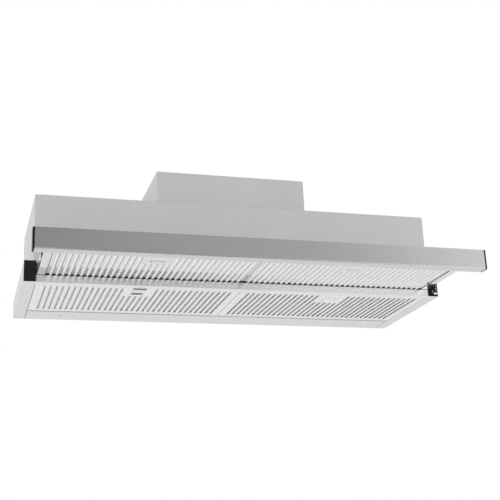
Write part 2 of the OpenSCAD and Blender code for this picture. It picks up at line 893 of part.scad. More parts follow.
// Sheet pan of a cassette, open above, with the latch's window in its face and
// its children's plan cut through it
module filter_pan(w, latch_x) {
    difference() {
        cube([w, filter_d, filter_h]);
        translate([sheet, sheet, sheet]) cube([w - 2 * sheet, filter_d - 2 * sheet, filter_h]);
        translate([0, 0, -1]) linear_extrude(sheet + 2) children();
        slab([latch_x - latch_w / 2 - clear, latch_y - clear, -1],
            [latch_x + latch_w / 2 + clear, latch_y + latch_d + latch_travel + clear, sheet + 1]);
        slab([latch_x - 9 - clear, -1, sheet], [latch_x + 9 + clear, 2, sheet + 1.9]);
    }
}

// Sliding latch: plate in the window, wings above the face, tongue, and two ribs
// below, of which the rear one is the finger grip
module latch(latch_x, reach) {
    slab([latch_x - latch_w / 2, latch_y, 0], [latch_x + latch_w / 2, latch_y + latch_d, sheet + 0.3]);
    slab([latch_x - latch_w / 2 - guide, latch_y, sheet + 0.3],
        [latch_x + latch_w / 2 + guide, latch_y + latch_d, sheet + 1.4]);
    slab([latch_x - 9, -reach, sheet + 0.3], [latch_x + 9, latch_y + 1, sheet + 1.4]);
    slab([latch_x - latch_w / 2, latch_y + 4.5, -lip_h], [latch_x + latch_w / 2, latch_y + 6, 0]);
    slab([latch_x - latch_w / 2 + 3, latch_y + latch_d - 2.5, -lip_h],
        [latch_x + latch_w / 2 - 3, latch_y + latch_d - 1, 0]);
}

lip_h = 1.6;
bead_run = 4;

// Layers of expanded mesh at height z in a pan, cut out over the latch
module mesh_pad(w, latch_x, edge, z) {
    difference() {
        slab([edge, sheet, z], [w - edge, filter_d - sheet, z + mesh_t]);
        slab([latch_x - latch_w / 2 - guide - 1, -1, 0],
            [latch_x + latch_w / 2 + guide + 1, latch_y + latch_d + latch_travel + 1, filter_h]);
    }
}

// Corner bosses of a tray filter, which hold its hinge pins
module pin_bosses(w) {
    for (x = [ear_t * 0.75 + clear, w - ear_t - clear - 5])
        slab([x, filter_d - 7, 0], [x + 5, filter_d - sheet, 4]);
}

module tray_cell(left) {
    on_side(left) translate([seam / 2, tray_cell_y, 0]) children();
}

module drawer_cell(left) {
    on_side(left) translate([seam / 2, drawer_cell_y, drawer_z]) children();
}

// Tray filter: louvred face, hinge bosses and pins at its rear corners
module tray_filter(left) {
    w = tray_cell_w;
    notch = ear_t + clear;
    y = pivot_y - tray_cell_y;
    color("gainsboro") tray_cell(left) {
        difference() {
            union() {
                filter_pan(w, slot_x + latch_mid) slot_row();
                for (i = [0:slot_n - 1]) translate([slot_x + i * pitch, 0, 0])
                    on_side(left) louvre(slot_start(i));
                pin_bosses(w);
            }
            slab([-1, y - pivot_z - clear, -1],
                [ear_t * 0.75 - seam / 2 + clear, filter_d + 1, filter_h + 1]);
            slab([w - notch, y - pivot_z - clear, -1], [w + 1, filter_d + 1, filter_h + 1]);
        }
        rod_x([-0.1, y, pivot_z], pin_r, 5);
        rod_x([w - notch - 3, y, pivot_z], pin_r, notch + 2.9);
    }
}

module tray_mesh(left) {
    color("darkgray") tray_cell(left)
        mesh_pad(tray_cell_w, slot_x + latch_mid, 9, louvre_h + sheet);
}

module tray_latch(left) {
    color("silver") tray_cell(left) latch(slot_x + latch_mid, -clear);
}

// Drawer filter: face with round beads that run out at their front, a narrow air
// gap at the right of each, and two rear lugs
module drawer_filter(left) {
    w = drawer_cell_w;
    color("gainsboro") drawer_cell(left) {
        filter_pan(w, bead_x + latch_mid) gap_row(left ? -gap_shift : gap_shift);
        difference() {
            for (i = [0:slot_n - 1]) translate([bead_x + i * pitch, 0, bead_r - bead_h]) {
                rod_y([0, slot_start(i) + bead_run, 0], bead_r, slot_end - slot_start(i) - bead_run);
                translate([0, slot_start(i), 0]) rotate([-90, 0, 0])
                    cylinder(r1 = bead_r - bead_h, r2 = bead_r, h = bead_run);
            }
            translate([0, 0, sheet / 2]) cube([w, filter_d, 2 * bead_r]);
        }
        for (x = [w / 5, w * 4 / 5])
            slab([x - 8, filter_d - sheet, sheet], [x + 8, filter_d + 8, 2 * sheet]);
    }
}

module drawer_mesh() {
    color("darkgray") for (left = [false, true])
        drawer_cell(left) mesh_pad(drawer_cell_w, bead_x + latch_mid, 3, sheet);
}

module drawer_latch(left) {
    color("silver") drawer_cell(left) latch(bead_x + latch_mid, 3);
}

tray_side(true);  // tray_side_left
tray_side(false);  // tray_side_right
front_rail();
rear_panel();
body_front_plate();
body_back_plate();
body_side(true);  // body_side_left
body_side(false);  // body_side_right
body_top_plate();
body_screws();
motor_box_wrap();
motor_box_back();
motor_box_lid();
outlet_collar();
damper_flap(true);  // damper_flap_left
damper_flap(false);  // damper_flap_right
scroll_half(true);  // scroll_half_left
scroll_half(false);  // scroll_half_right
outlet_transition();
fan_wheel();
motor_shaft();
motor();
motor_bracket();
run_capacitor();
terminal_box();
terminal_lid();
cable_gland();
control_cable();
corner_block();
control_housing();
control_board();
button(0);  // button_light
button(1);  // button_low
button(2);  // button_high
indicator_lens();
slide_fixed(true);  // slide_fixed_left
slide_fixed(false);  // slide_fixed_right
slide_middles();
slide_moving(true);  // slide_moving_left
slide_moving(false);  // slide_moving_right
drawer_side(true);  // drawer_side_left
drawer_side(false);  // drawer_side_right
drawer_front_beam();
drawer_rear_beam();
drawer_top_plate();
front_panel();
end_cap(true);  // end_cap_left
end_cap(false);  // end_cap_right
panel_bumpers();
drawer_filter(true);  // drawer_filter_left
drawer_filter(false);  // drawer_filter_right
drawer_mesh();
drawer_latch(true);  // drawer_latch_left
drawer_latch(false);  // drawer_latch_right
tray_filter(true);  // tray_filter_left
tray_filter(false);  // tray_filter_right
tray_mesh(true);  // tray_mesh_left
tray_mesh(false);  // tray_mesh_right
tray_latch(true);  // tray_latch_left
tray_latch(false);  // tray_latch_right
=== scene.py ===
import math

import bmesh
import bpy
from mathutils import Matrix, Vector


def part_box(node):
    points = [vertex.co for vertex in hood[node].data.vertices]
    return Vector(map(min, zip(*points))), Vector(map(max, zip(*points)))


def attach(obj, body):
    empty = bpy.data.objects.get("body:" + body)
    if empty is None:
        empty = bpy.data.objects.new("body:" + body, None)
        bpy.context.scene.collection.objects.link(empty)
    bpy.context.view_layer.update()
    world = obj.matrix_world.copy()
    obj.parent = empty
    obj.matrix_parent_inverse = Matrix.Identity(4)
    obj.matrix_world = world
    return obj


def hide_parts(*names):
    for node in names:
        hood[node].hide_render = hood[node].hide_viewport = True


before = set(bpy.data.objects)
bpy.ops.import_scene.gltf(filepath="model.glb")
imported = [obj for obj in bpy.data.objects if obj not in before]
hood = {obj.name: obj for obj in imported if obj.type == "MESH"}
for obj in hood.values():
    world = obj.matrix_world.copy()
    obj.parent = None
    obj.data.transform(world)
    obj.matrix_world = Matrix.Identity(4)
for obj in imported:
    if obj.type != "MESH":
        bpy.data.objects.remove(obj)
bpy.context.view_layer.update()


# Camera

# The hood is seen from below and from its left, a little over two metres away,
# at the eye point that the straight edges of tray, panel and body give.
eye = Vector((-0.5801, -2.2441, -0.5662))
turned_right = math.radians(17.11)
tipped_up = math.radians(17.80)
rolled = math.radians(-2.59)
camera_data = bpy.data.cameras.new("photo_camera")
camera_data.sensor_width = 36
camera_data.lens = 72.73
camera_data.clip_end = 40
camera = bpy.data.objects.new("photo_camera", camera_data)
camera.matrix_world = (
    Matrix.Translation(eye)
    @ Matrix.Rotation(-turned_right, 4, "Z")
    @ Matrix.Rotation(math.radians(90) + tipped_up, 4, "X")
    @ Matrix.Rotation(rolled, 4, "Z")
)
bpy.context.scene.collection.objects.link(camera)
bpy.context.scene.camera = camera
bpy.context.scene.view_settings.view_transform = "Standard"


# White room

# The background is pure white to the camera and in the metal, while the
# diffuse light that the room gives stays at a plain level.
room_light = 0.86
world = bpy.data.worlds.new("white_room")
bpy.context.scene.world = world
world.use_nodes = True
room = world.node_tree
room.nodes.clear()
fill = room.nodes.new("ShaderNodeBackground")
fill.inputs["Color"].default_value = (1.0, 1.0, 1.0, 1.0)
fill.inputs["Strength"].default_value = room_light
white = room.nodes.new("ShaderNodeBackground")
white.inputs["Color"].default_value = (1.0, 1.0, 1.0, 1.0)
white.inputs["Strength"].default_value = 1.0
path = room.nodes.new("ShaderNodeLightPath")
seen_or_glossy = room.nodes.new("ShaderNodeMath")
seen_or_glossy.operation = "MAXIMUM"
shows_white = room.nodes.new("ShaderNodeMath")
shows_white.operation = "MAXIMUM"
fill_or_white = room.nodes.new("ShaderNodeMixShader")
world_out = room.nodes.new("ShaderNodeOutputWorld")
room.links.new(path.outputs["Is Camera Ray"], seen_or_glossy.inputs[0])
room.links.new(path.outputs["Is Glossy Ray"], seen_or_glossy.inputs[1])
room.links.new(seen_or_glossy.outputs[0], shows_white.inputs[0])
room.links.new(path.outputs["Is Transmission Ray"], shows_white.inputs[1])
room.links.new(shows_white.outputs[0], fill_or_white.inputs["Fac"])
room.links.new(fill.outputs[0], fill_or_white.inputs[1])
room.links.new(white.outputs[0], fill_or_white.inputs[2])
room.links.new(fill_or_white.outputs[0], world_out.inputs["Surface"])


# Floor

# A plain pale floor two and a half metres below the hood, low enough for a view
# from straight below. Only views from above see it.
floor_z = -2.5
floor_half = 10.0
floor_mesh = bpy.data.meshes.new("floor")
floor_mesh.from_pydata(
    [(-floor_half, -floor_half, floor_z), (floor_half, -floor_half, floor_z),
     (floor_half, floor_half, floor_z), (-floor_half, floor_half, floor_z)],
    [], [(0, 1, 2, 3)])
floor = bpy.data.objects.new("floor", floor_mesh)
bpy.context.scene.collection.objects.link(floor)
floor_paint = bpy.data.materials.new("floor_paint")
floor_paint.use_nodes = True
floor_shader = floor_paint.node_tree.nodes["Principled BSDF"]
floor_shader.inputs["Base Color"].default_value = (0.86, 0.86, 0.86, 1.0)
floor_shader.inputs["Roughness"].default_value = 0.8
floor_mesh.materials.append(floor_paint)


# Lamps

# Three soft boxes: one low on the left, the largest below the hood, and one in
# front and above. They light the faces and aren't mirrored in them.
def soft_box(name, at, aim, width, height, power):
    data = bpy.data.lights.new(name, "AREA")
    data.shape = "RECTANGLE"
    data.size = width
    data.size_y = height
    data.energy = power
    lamp = bpy.data.objects.new(name, data)
    lamp.location = at
    lamp.rotation_euler = (Vector(aim) - Vector(at)).to_track_quat("-Z", "Y").to_euler()
    lamp.visible_camera = False
    lamp.visible_glossy = False
    bpy.context.scene.collection.objects.link(lamp)


hood_middle = (0.0, -0.25, 0.1)
soft_box("left_box", (-2.4, -0.9, -0.6), hood_middle, 1.6, 1.6, power=5)
soft_box("under_box", (0.0, -0.4, -1.45), hood_middle, 2.4, 1.6, power=8)
soft_box("front_box", (-0.3, -3.2, 1.4), hood_middle, 1.8, 1.2, power=9)


# Grey cards

# Polished steel shows the dim side of the studio in place of the white room: a
# card behind the camera that bends over as a ceiling, a card under it that runs
# forward at its foot, and a mat that goes on from there towards the hood.
card_left = -2.6
card_right = 4.6
card_y = -4.2
card_foot = -1.5
card_split = -0.5
card_high = 3.6
ceiling_end = 3.0
mat_start = -2.6
mat_end = -0.7


def glow_card(name, bends, greys):
    """A card through the bends in Y and Z, lit by itself in greys at places in X."""
    points = [(x, y, z) for y, z in bends for x in (card_left, card_right)]
    faces = [(k, k + 1, k + 3, k + 2) for k in range(0, len(points) - 2, 2)]
    mesh = bpy.data.meshes.new(name)
    mesh.from_pydata(points, [], faces)
    card = bpy.data.objects.new(name, mesh)
    bpy.context.scene.collection.objects.link(card)
    paint = bpy.data.materials.new(name + "_paint")
    paint.use_nodes = True
    tree = paint.node_tree
    tree.nodes.clear()
    place = tree.nodes.new("ShaderNodeTexCoord")
    split = tree.nodes.new("ShaderNodeSeparateXYZ")
    span = tree.nodes.new("ShaderNodeMapRange")
    span.inputs["From Min"].default_value = card_left
    span.inputs["From Max"].default_value = card_right
    fade = tree.nodes.new("ShaderNodeValToRGB")
    while len(fade.color_ramp.elements) < len(greys):
        fade.color_ramp.elements.new(0.5)
    for stop, (x, grey) in zip(fade.color_ramp.elements, greys):
        stop.position = (x - card_left) / (card_right - card_left)
        stop.color = (grey, grey, grey, 1.0)
    glow = tree.nodes.new("ShaderNodeEmission")
    out = tree.nodes.new("ShaderNodeOutputMaterial")
    tree.links.new(place.outputs["Object"], split.inputs[0])
    tree.links.new(split.outputs["X"], span.inputs["Value"])
    tree.links.new(span.outputs[0], fade.inputs["Fac"])
    tree.links.new(fade.outputs[0], glow.inputs["Color"])
    tree.links.new(glow.outputs[0], out.inputs["Surface"])
    mesh.materials.append(paint)
    card.visible_camera = False
    card.visible_diffuse = False
    card.visible_shadow = False
    card.visible_transmission = False


glow_card("upper_card", [(card_y, card_split), (card_y, card_high), (ceiling_end, card_high)],
          [(-0.22, 0.27), (0.14, 0.38), (0.57, 0.41), (1.43, 0.45),
           (1.79, 0.42), (2.01, 0.48), (2.22, 0.76), (3.16, 0.95)])
glow_card("lower_card", [(mat_start, card_foot), (card_y, card_foot), (card_y, card_split)],
          [(-0.26, 1.25), (-0.04, 0.02), (0.86, 0.02), (1.04, 0.25), (1.29, 1.10)])
glow_card("floor_mat", [(mat_end, card_foot), (mat_start, card_foot)],
          [(-1.60, 0.90), (-1.20, 0.45), (0.86, 0.45), (1.04, 0.60), (1.29, 1.00)])


# Upper body

# The body and the motor box on it are folded from thin steel sheet, screwed at
# the body's seams and riveted at their feet. Their silver coat is smooth, with
# a faint orange peel and a satin sheen.
def new_finish(name):
    finish = bpy.data.materials.new(name)
    finish.use_nodes = True
    tree = finish.node_tree
    return finish, tree, tree.nodes["Principled BSDF"]


def object_place(tree, stretch=(1.0, 1.0, 1.0)):
    place = tree.nodes.new("ShaderNodeTexCoord")
    mapping = tree.nodes.new("ShaderNodeMapping")
    mapping.inputs["Scale"].default_value = stretch
    tree.links.new(place.outputs["Object"], mapping.inputs["Vector"])
    return mapping.outputs["Vector"]


def noise(tree, place, scale, detail=3.0):
    cloud = tree.nodes.new("ShaderNodeTexNoise")
    cloud.inputs["Scale"].default_value = scale
    cloud.inputs["Detail"].default_value = detail
    tree.links.new(place, cloud.inputs["Vector"])
    return cloud.outputs["Fac"]


def blend_colours(tree, factor, low, high):
    ramp = tree.nodes.new("ShaderNodeValToRGB")
    ramp.color_ramp.elements[0].position = 0.3
    ramp.color_ramp.elements[0].color = (*low, 1.0)
    ramp.color_ramp.elements[1].position = 0.7
    ramp.color_ramp.elements[1].color = (*high, 1.0)
    tree.links.new(factor, ramp.inputs["Fac"])
    return ramp.outputs["Color"]


def spread(tree, factor, low, high):
    span = tree.nodes.new("ShaderNodeMapRange")
    span.inputs["From Min"].default_value = 0.3
    span.inputs["From Max"].default_value = 0.7
    span.inputs["To Min"].default_value = low
    span.inputs["To Max"].default_value = high
    tree.links.new(factor, span.inputs["Value"])
    return span.outputs["Result"]


def relief(tree, height, strength, depth, edge=0.0003):
    """Bump of the height, on edges that look rounded by the edge radius."""
    soft_edge = tree.nodes.new("ShaderNodeBevel")
    soft_edge.inputs["Radius"].default_value = edge
    bump = tree.nodes.new("ShaderNodeBump")
    bump.inputs["Strength"].default_value = strength
    bump.inputs["Distance"].default_value = depth
    tree.links.new(soft_edge.outputs["Normal"], bump.inputs["Normal"])
    tree.links.new(height, bump.inputs["Height"])
    return bump.outputs["Normal"]


def shade(colour, share):
    return tuple(min(1.0, c * share) for c in colour)


def coated_sheet(name, colour):
    finish, tree, shader = new_finish(name)
    place = object_place(tree)
    cloud = noise(tree, place, 7.0)
    peel = noise(tree, place, 1400.0, 1.0)
    colours = blend_colours(tree, cloud, shade(colour, 0.98), shade(colour, 1.02))
    tree.links.new(colours, shader.inputs["Base Color"])
    tree.links.new(spread(tree, noise(tree, place, 60.0), 0.40, 0.48), shader.inputs["Roughness"])
    tree.links.new(relief(tree, peel, 0.10, 0.0001), shader.inputs["Normal"])
    shader.inputs["Metallic"].default_value = 0.25
    return finish


def dress(finish, *names):
    for name in names:
        hood[name].data.materials.clear()
        hood[name].data.materials.append(finish)


body_coat = coated_sheet("body_coat", (0.62, 0.62, 0.62))
dress(body_coat, "body_front_plate", "body_back_plate", "body_side_left", "body_side_right",
      "body_top_plate", "motor_box_wrap", "motor_box_back", "motor_box_lid")


# Tray

# Folded from the same sheet and coat as the body, here painted lighter to stand in
# for the stronger light on these faces: the tray's side channels and its rear wall
# with the bottom strip, and the drawer's cross beams and top plate.
tray_coat_painted_lighter = coated_sheet("tray_coat_painted_lighter", (0.68, 0.68, 0.68))
dress(tray_coat_painted_lighter, "tray_side_left", "tray_side_right", "rear_panel", "drawer_front_beam",
      "drawer_rear_beam", "drawer_top_plate")


# Brushed steel

# The drawer's front panel is stainless sheet brushed along its length and
# folded back above and below. The rail across the tray's front is the same
# sheet, brushed finer, in a copy painted lighter for the brighter light it reflects.
def brushed_steel(name, colour, rough_low, rough_high, stroke_height):
    finish, tree, shader = new_finish(name)
    strokes = noise(tree, object_place(tree, (14.0, 2400.0, 2400.0)), 1.0, 2.0)
    patches = noise(tree, object_place(tree, (1.5, 8.0, 30.0)), 2.0)
    colours = blend_colours(tree, strokes, shade(colour, 0.96), shade(colour, 1.04))
    tree.links.new(colours, shader.inputs["Base Color"])
    tree.links.new(spread(tree, patches, rough_low, rough_high), shader.inputs["Roughness"])
    tree.links.new(relief(tree, strokes, stroke_height, 0.0001), shader.inputs["Normal"])
    shader.inputs["Metallic"].default_value = 1.0
    return finish


panel_steel = brushed_steel("panel_steel", (0.72, 0.72, 0.72), 0.24, 0.28, stroke_height=0.06)
dress(panel_steel, "front_panel")
# The rail's colour is painted lighter than the panel's, as painted reflection of brighter light.
rail_steel = brushed_steel("rail_steel", (0.89, 0.89, 0.89), 0.26, 0.30, stroke_height=0.02)
dress(rail_steel, "front_rail")


# Filters

# Pans pressed from aluminium sheet over expanded mesh, with beads and narrow
# air gaps in the drawer and louvred slots in the tray. The spring latches and
# the drawer's side strips are of the same metal.
def rolled_aluminium(name, colour, rough_low, rough_high, metal):
    finish, tree, shader = new_finish(name)
    grain = noise(tree, object_place(tree, (300.0, 6.0, 300.0)), 1.0, 4.0)
    smears = noise(tree, object_place(tree), 14.0)
    colours = blend_colours(tree, grain, shade(colour, 0.97), shade(colour, 1.03))
    tree.links.new(colours, shader.inputs["Base Color"])
    tree.links.new(spread(tree, smears, rough_low, rough_high), shader.inputs["Roughness"])
    tree.links.new(relief(tree, grain, 0.08, 0.0001), shader.inputs["Normal"])
    shader.inputs["Metallic"].default_value = metal
    return finish


def dull_beads(finish, bright_z, dull_z, dull_metal, added_rough):
    """The sheet turns matt where the press has stretched it down into beads."""
    tree = finish.node_tree
    shader = tree.nodes["Principled BSDF"]
    bright_metal = shader.inputs["Metallic"].default_value
    place = tree.nodes.new("ShaderNodeTexCoord")
    split = tree.nodes.new("ShaderNodeSeparateXYZ")
    tree.links.new(place.outputs["Object"], split.inputs[0])

    def by_depth(at_bright, at_dull):
        span = tree.nodes.new("ShaderNodeMapRange")
        span.inputs["From Min"].default_value = bright_z
        span.inputs["From Max"].default_value = dull_z
        span.inputs["To Min"].default_value = at_bright
        span.inputs["To Max"].default_value = at_dull
        tree.links.new(split.outputs["Z"], span.inputs["Value"])
        return span.outputs["Result"]

    rough = tree.nodes.new("ShaderNodeMath")
    rough.operation = "ADD"
    tree.links.new(shader.inputs["Roughness"].links[0].from_socket, rough.inputs[0])
    tree.links.new(by_depth(0.0, added_rough), rough.inputs[1])
    tree.links.new(rough.outputs[0], shader.inputs["Roughness"])
    tree.links.new(by_depth(bright_metal, dull_metal), shader.inputs["Metallic"])


bright_roll = {"colour": (0.88, 0.88, 0.88), "rough_low": 0.08, "rough_high": 0.12, "metal": 0.95}
drawer_sheet = rolled_aluminium("drawer_sheet", **bright_roll)
dress(drawer_sheet, "tray_latch_left", "tray_latch_right", "drawer_side_left",
      "drawer_side_right")
beaded_sheet = rolled_aluminium("beaded_sheet", **bright_roll)
drawer_face_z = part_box("drawer_front_beam")[0].z
bead_bright_z = drawer_face_z - 0.0002
bead_dull_z = drawer_face_z - 0.0008
dull_beads(beaded_sheet, bead_bright_z, bead_dull_z, dull_metal=0.30, added_rough=0.30)
dress(beaded_sheet, "drawer_filter_left", "drawer_filter_right")
tray_sheet = rolled_aluminium("tray_sheet", (0.79, 0.79, 0.79), 0.26, 0.34, metal=0.40)
dress(tray_sheet, "tray_filter_left", "tray_filter_right", "drawer_latch_left",
      "drawer_latch_right")


def expanded_mesh(name, colour):
    finish, tree, shader = new_finish(name)
    heights = []
    for turn in (35.0, -35.0):
        place = tree.nodes.new("ShaderNodeTexCoord")
        mapping = tree.nodes.new("ShaderNodeMapping")
        mapping.inputs["Rotation"].default_value = (0.0, 0.0, math.radians(turn))
        tree.links.new(place.outputs["Object"], mapping.inputs["Vector"])
        wave = tree.nodes.new("ShaderNodeTexWave")
        wave.inputs["Scale"].default_value = 110.0
        wave.inputs["Distortion"].default_value = 0.6
        tree.links.new(mapping.outputs["Vector"], wave.inputs["Vector"])
        heights.append(wave.outputs["Fac"])
    strands = tree.nodes.new("ShaderNodeMath")
    strands.operation = "MAXIMUM"
    tree.links.new(heights[0], strands.inputs[0])
    tree.links.new(heights[1], strands.inputs[1])
    colours = blend_colours(tree, strands.outputs[0], shade(colour, 0.72), shade(colour, 1.1))
    tree.links.new(colours, shader.inputs["Base Color"])
    tree.links.new(relief(tree, strands.outputs[0], 0.6, 0.0006), shader.inputs["Normal"])
    shader.inputs["Metallic"].default_value = 0.15
    shader.inputs["Roughness"].default_value = 0.42
    return finish


# The tray's mesh is painted white, lighter than the drawer's, to lift the shade that falls inside
# the tray's slots.
tray_mesh_painted_lighter = expanded_mesh("tray_mesh_painted_lighter", (1.0, 1.0, 1.0))
dress(tray_mesh_painted_lighter, "tray_mesh_left", "tray_mesh_right")
dull_mesh = expanded_mesh("dull_mesh", (0.40, 0.40, 0.40))
dress(dull_mesh, "drawer_mesh")


# Slides and motor

# The telescopic slides, the fan's shaft and the motor's bracket are steel with
# a clear zinc plate. The motor's case is cast aluminium, left as it is.
def clouded_metal(name, colour):
    finish, tree, shader = new_finish(name)
    place = object_place(tree)
    bloom = noise(tree, place, 35.0, 4.0)
    colours = blend_colours(tree, bloom, shade(colour, 0.9), shade(colour, 1.05))
    tree.links.new(colours, shader.inputs["Base Color"])
    tree.links.new(spread(tree, bloom, 0.26, 0.40), shader.inputs["Roughness"])
    shader.inputs["Metallic"].default_value = 1.0
    return finish


zinc = clouded_metal("zinc", (0.74, 0.75, 0.77))
dress(zinc, "slide_fixed_left", "slide_fixed_right", "slide_middles", "slide_moving_left",
      "slide_moving_right", "motor_shaft", "motor_bracket")
cast = clouded_metal("cast_aluminium", (0.50, 0.50, 0.51))
dress(cast, "motor")


# Screws

# Ten zinc plated pan head screws with a cross recess: four through each side of
# the upper body into its front and back plates, two up into the bottom strip.
# Their profile gives radius and height over the seat in mm.
thread_radius = 1.4
root_radius = 1.1
screw_tip = [(0.0, -6.0), (0.5, -5.8)]
thread = [(root_radius if k % 2 else thread_radius, -4.9 + 0.3 * k) for k in range(13)]
screw_head = [(thread_radius, 0.0), (2.3, 0.0), (2.5, 0.15), (2.5, 0.75), (2.38, 1.05),
              (2.1, 1.3), (1.6, 1.48), (0.9, 1.57), (0.0, 1.6)]
recess_length = 2.7
recess_width = 0.75
recess_depth = 1.0
recess_taper = 0.55
crease = math.radians(38)


def turned(name, profile, sides):
    """Mesh of a profile, radii and heights in mm, turned about its axis."""
    verts, rings = [], []
    for radius, height in profile:
        count = sides if radius > 0 else 1
        rings.append(range(len(verts), len(verts) + count))
        for k in range(count):
            angle = 2 * math.pi * k / sides
            verts.append((radius * math.cos(angle), radius * math.sin(angle), height))
    faces = []
    for low, high in zip(rings, rings[1:]):
        for k in range(sides):
            corners = (low[k % len(low)], low[(k + 1) % len(low)],
                       high[(k + 1) % len(high)], high[k % len(high)])
            faces.append(tuple(dict.fromkeys(corners)))
    mesh = bpy.data.meshes.new(name)
    mesh.from_pydata(verts, [], faces)
    mesh.transform(Matrix.Scale(0.001, 4))
    return mesh


def cross_recess(blank):
    """The blank with two slots that taper inwards cut crosswise into its crown."""
    screw = bpy.data.objects.new("screw_blank", blank)
    bpy.context.scene.collection.objects.link(screw)
    crown = blank.vertices[-1].co.z
    bit_foot = crown - recess_depth / 1000
    bit_top = crown + 0.0005
    tools = [screw]
    for across, along in ((recess_length, recess_width), (recess_width, recess_length)):
        bit = bmesh.new()
        bmesh.ops.create_cube(bit, size=1.0)
        for corner in bit.verts:
            at_foot = corner.co.z < 0
            half = (recess_taper if at_foot else 1.0) / 2000
            corner.co = (math.copysign(across * half, corner.co.x),
                         math.copysign(along * half, corner.co.y),
                         bit_foot if at_foot else bit_top)
        bit_mesh = bpy.data.meshes.new("recess_bit")
        bit.to_mesh(bit_mesh)
        bit.free()
        tool = bpy.data.objects.new("recess_bit", bit_mesh)
        bpy.context.scene.collection.objects.link(tool)
        cut = screw.modifiers.new("recess", "BOOLEAN")
        cut.operation = "DIFFERENCE"
        cut.solver = "EXACT"
        cut.object = tool
        tools.append(tool)
    finished = bpy.data.meshes.new_from_object(
        screw.evaluated_get(bpy.context.evaluated_depsgraph_get()))
    for tool in tools:
        bpy.data.objects.remove(tool)
    return finished


def set_in(name, mesh, seats, finish, body):
    """Copies of the mesh, each with its +Z along the seat's direction, as one piece."""
    row = bmesh.new()
    for seat, outward in seats:
        one = mesh.copy()
        turn = Vector((0, 0, 1)).rotation_difference(Vector(outward)).to_matrix().to_4x4()
        one.transform(Matrix.Translation(seat) @ turn)
        row.from_mesh(one)
        bpy.data.meshes.remove(one)
    joined = bpy.data.meshes.new(name)
    row.to_mesh(joined)
    row.free()
    joined.polygons.foreach_set("use_smooth", [True] * len(joined.polygons))
    joined.set_sharp_from_angle(angle=crease)
    joined.materials.append(finish)
    piece = bpy.data.objects.new(name, joined)
    bpy.context.scene.collection.objects.link(piece)
    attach(piece, body)
    return piece


front_plate_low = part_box("body_front_plate")[0]
top_plate_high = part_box("body_top_plate")[1]
seams_y = (front_plate_low.y + 0.013, top_plate_high.y - 0.009)
seams_z = (front_plate_low.z + 0.022, top_plate_high.z - 0.0255)
side_seats = [((side * top_plate_high.x, y, z), (side, 0, 0))
              for side in (-1, 1) for y in seams_y for z in seams_z]
strip_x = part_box("rear_panel")[1].x - 0.1
strip_y = -0.03645
strip_seats = [((side * strip_x, strip_y, 0.0), (0, 0, -1)) for side in (-1, 1)]
pan_screw = cross_recess(turned("pan_screw", screw_tip + thread + screw_head, 40))
screws = set_in("pan_head_screws", pan_screw, side_seats + strip_seats, zinc, "housing")
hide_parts("body_screws")


# Rivets

# Aluminium blind rivets with the pulled pin's dimple in the crown. They fix the
# foot of the motor box to the top plate, and the feet of the body to the tray.
rivet_shank = [(0.0, -2.9), (1.7, -2.9), (1.9, -2.3), (1.6, -1.6), (1.6, 0.0)]
rivet_head = [(2.3, 0.0), (2.3, 0.2), (2.0, 0.5), (1.5, 0.72), (1.0, 0.8)]
pin_dimple = [(0.8, 0.74), (0.75, 0.3), (0.0, 0.25)]
sheet_thickness = 0.0008
foot_middle = 0.005
side_foot_middle = 0.010
box_side_rows = (-0.225, -0.135, -0.045)
box_front_row = (-0.12, 0.0, 0.12)
body_side_rows = (-0.255, -0.145, -0.035)
body_wall_row = (-0.36, -0.12, 0.12, 0.36)
up = (0, 0, 1)

box_low, box_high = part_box("motor_box_wrap")
box_x = box_high.x - foot_middle
box_y = box_low.y + foot_middle
box_z = box_low.z + sheet_thickness
box_seats = [((side * box_x, y, box_z), up) for side in (-1, 1) for y in box_side_rows]
box_seats += [((x, box_y, box_z), up) for x in box_front_row]
side_low, side_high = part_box("body_side_right")
foot_x = side_high.x - side_foot_middle
foot_y = side_high.y - foot_middle
foot_z = side_low.z + sheet_thickness
foot_seats = [((side * foot_x, y, foot_z), up) for side in (-1, 1) for y in body_side_rows]
foot_seats += [((x, foot_y, foot_z), up) for x in body_wall_row]
blind_rivet = turned("blind_rivet", rivet_shank + rivet_head + pin_dimple, 32)
rivet_aluminium = clouded_metal("rivet_aluminium", (0.70, 0.70, 0.71))
rivets = set_in("blind_rivets", blind_rivet, box_seats + foot_seats, rivet_aluminium, "housing")


# Plastics

# Moulded with a fine spark eroded grain: black blocks, caps and buttons, the
# grey collar, flaps, terminal box and blower, a white capacitor and lens. The
# control board is green laminate, the bumpers and the cable are black rubber.
def moulded(name, colour, rough, grain_depth, shine=0.5):
    finish, tree, shader = new_finish(name)
    grain = noise(tree, object_place(tree), 900.0, 2.0)
    colours = blend_colours(tree, grain, shade(colour, 0.92), shade(colour, 1.08))
    tree.links.new(colours, shader.inputs["Base Color"])
    tree.links.new(spread(tree, grain, rough - 0.05, rough + 0.05), shader.inputs["Roughness"])
    tree.links.new(relief(tree, grain, 0.25, grain_depth), shader.inputs["Normal"])
    shader.inputs["Specular IOR Level"].default_value = shine
    return finish


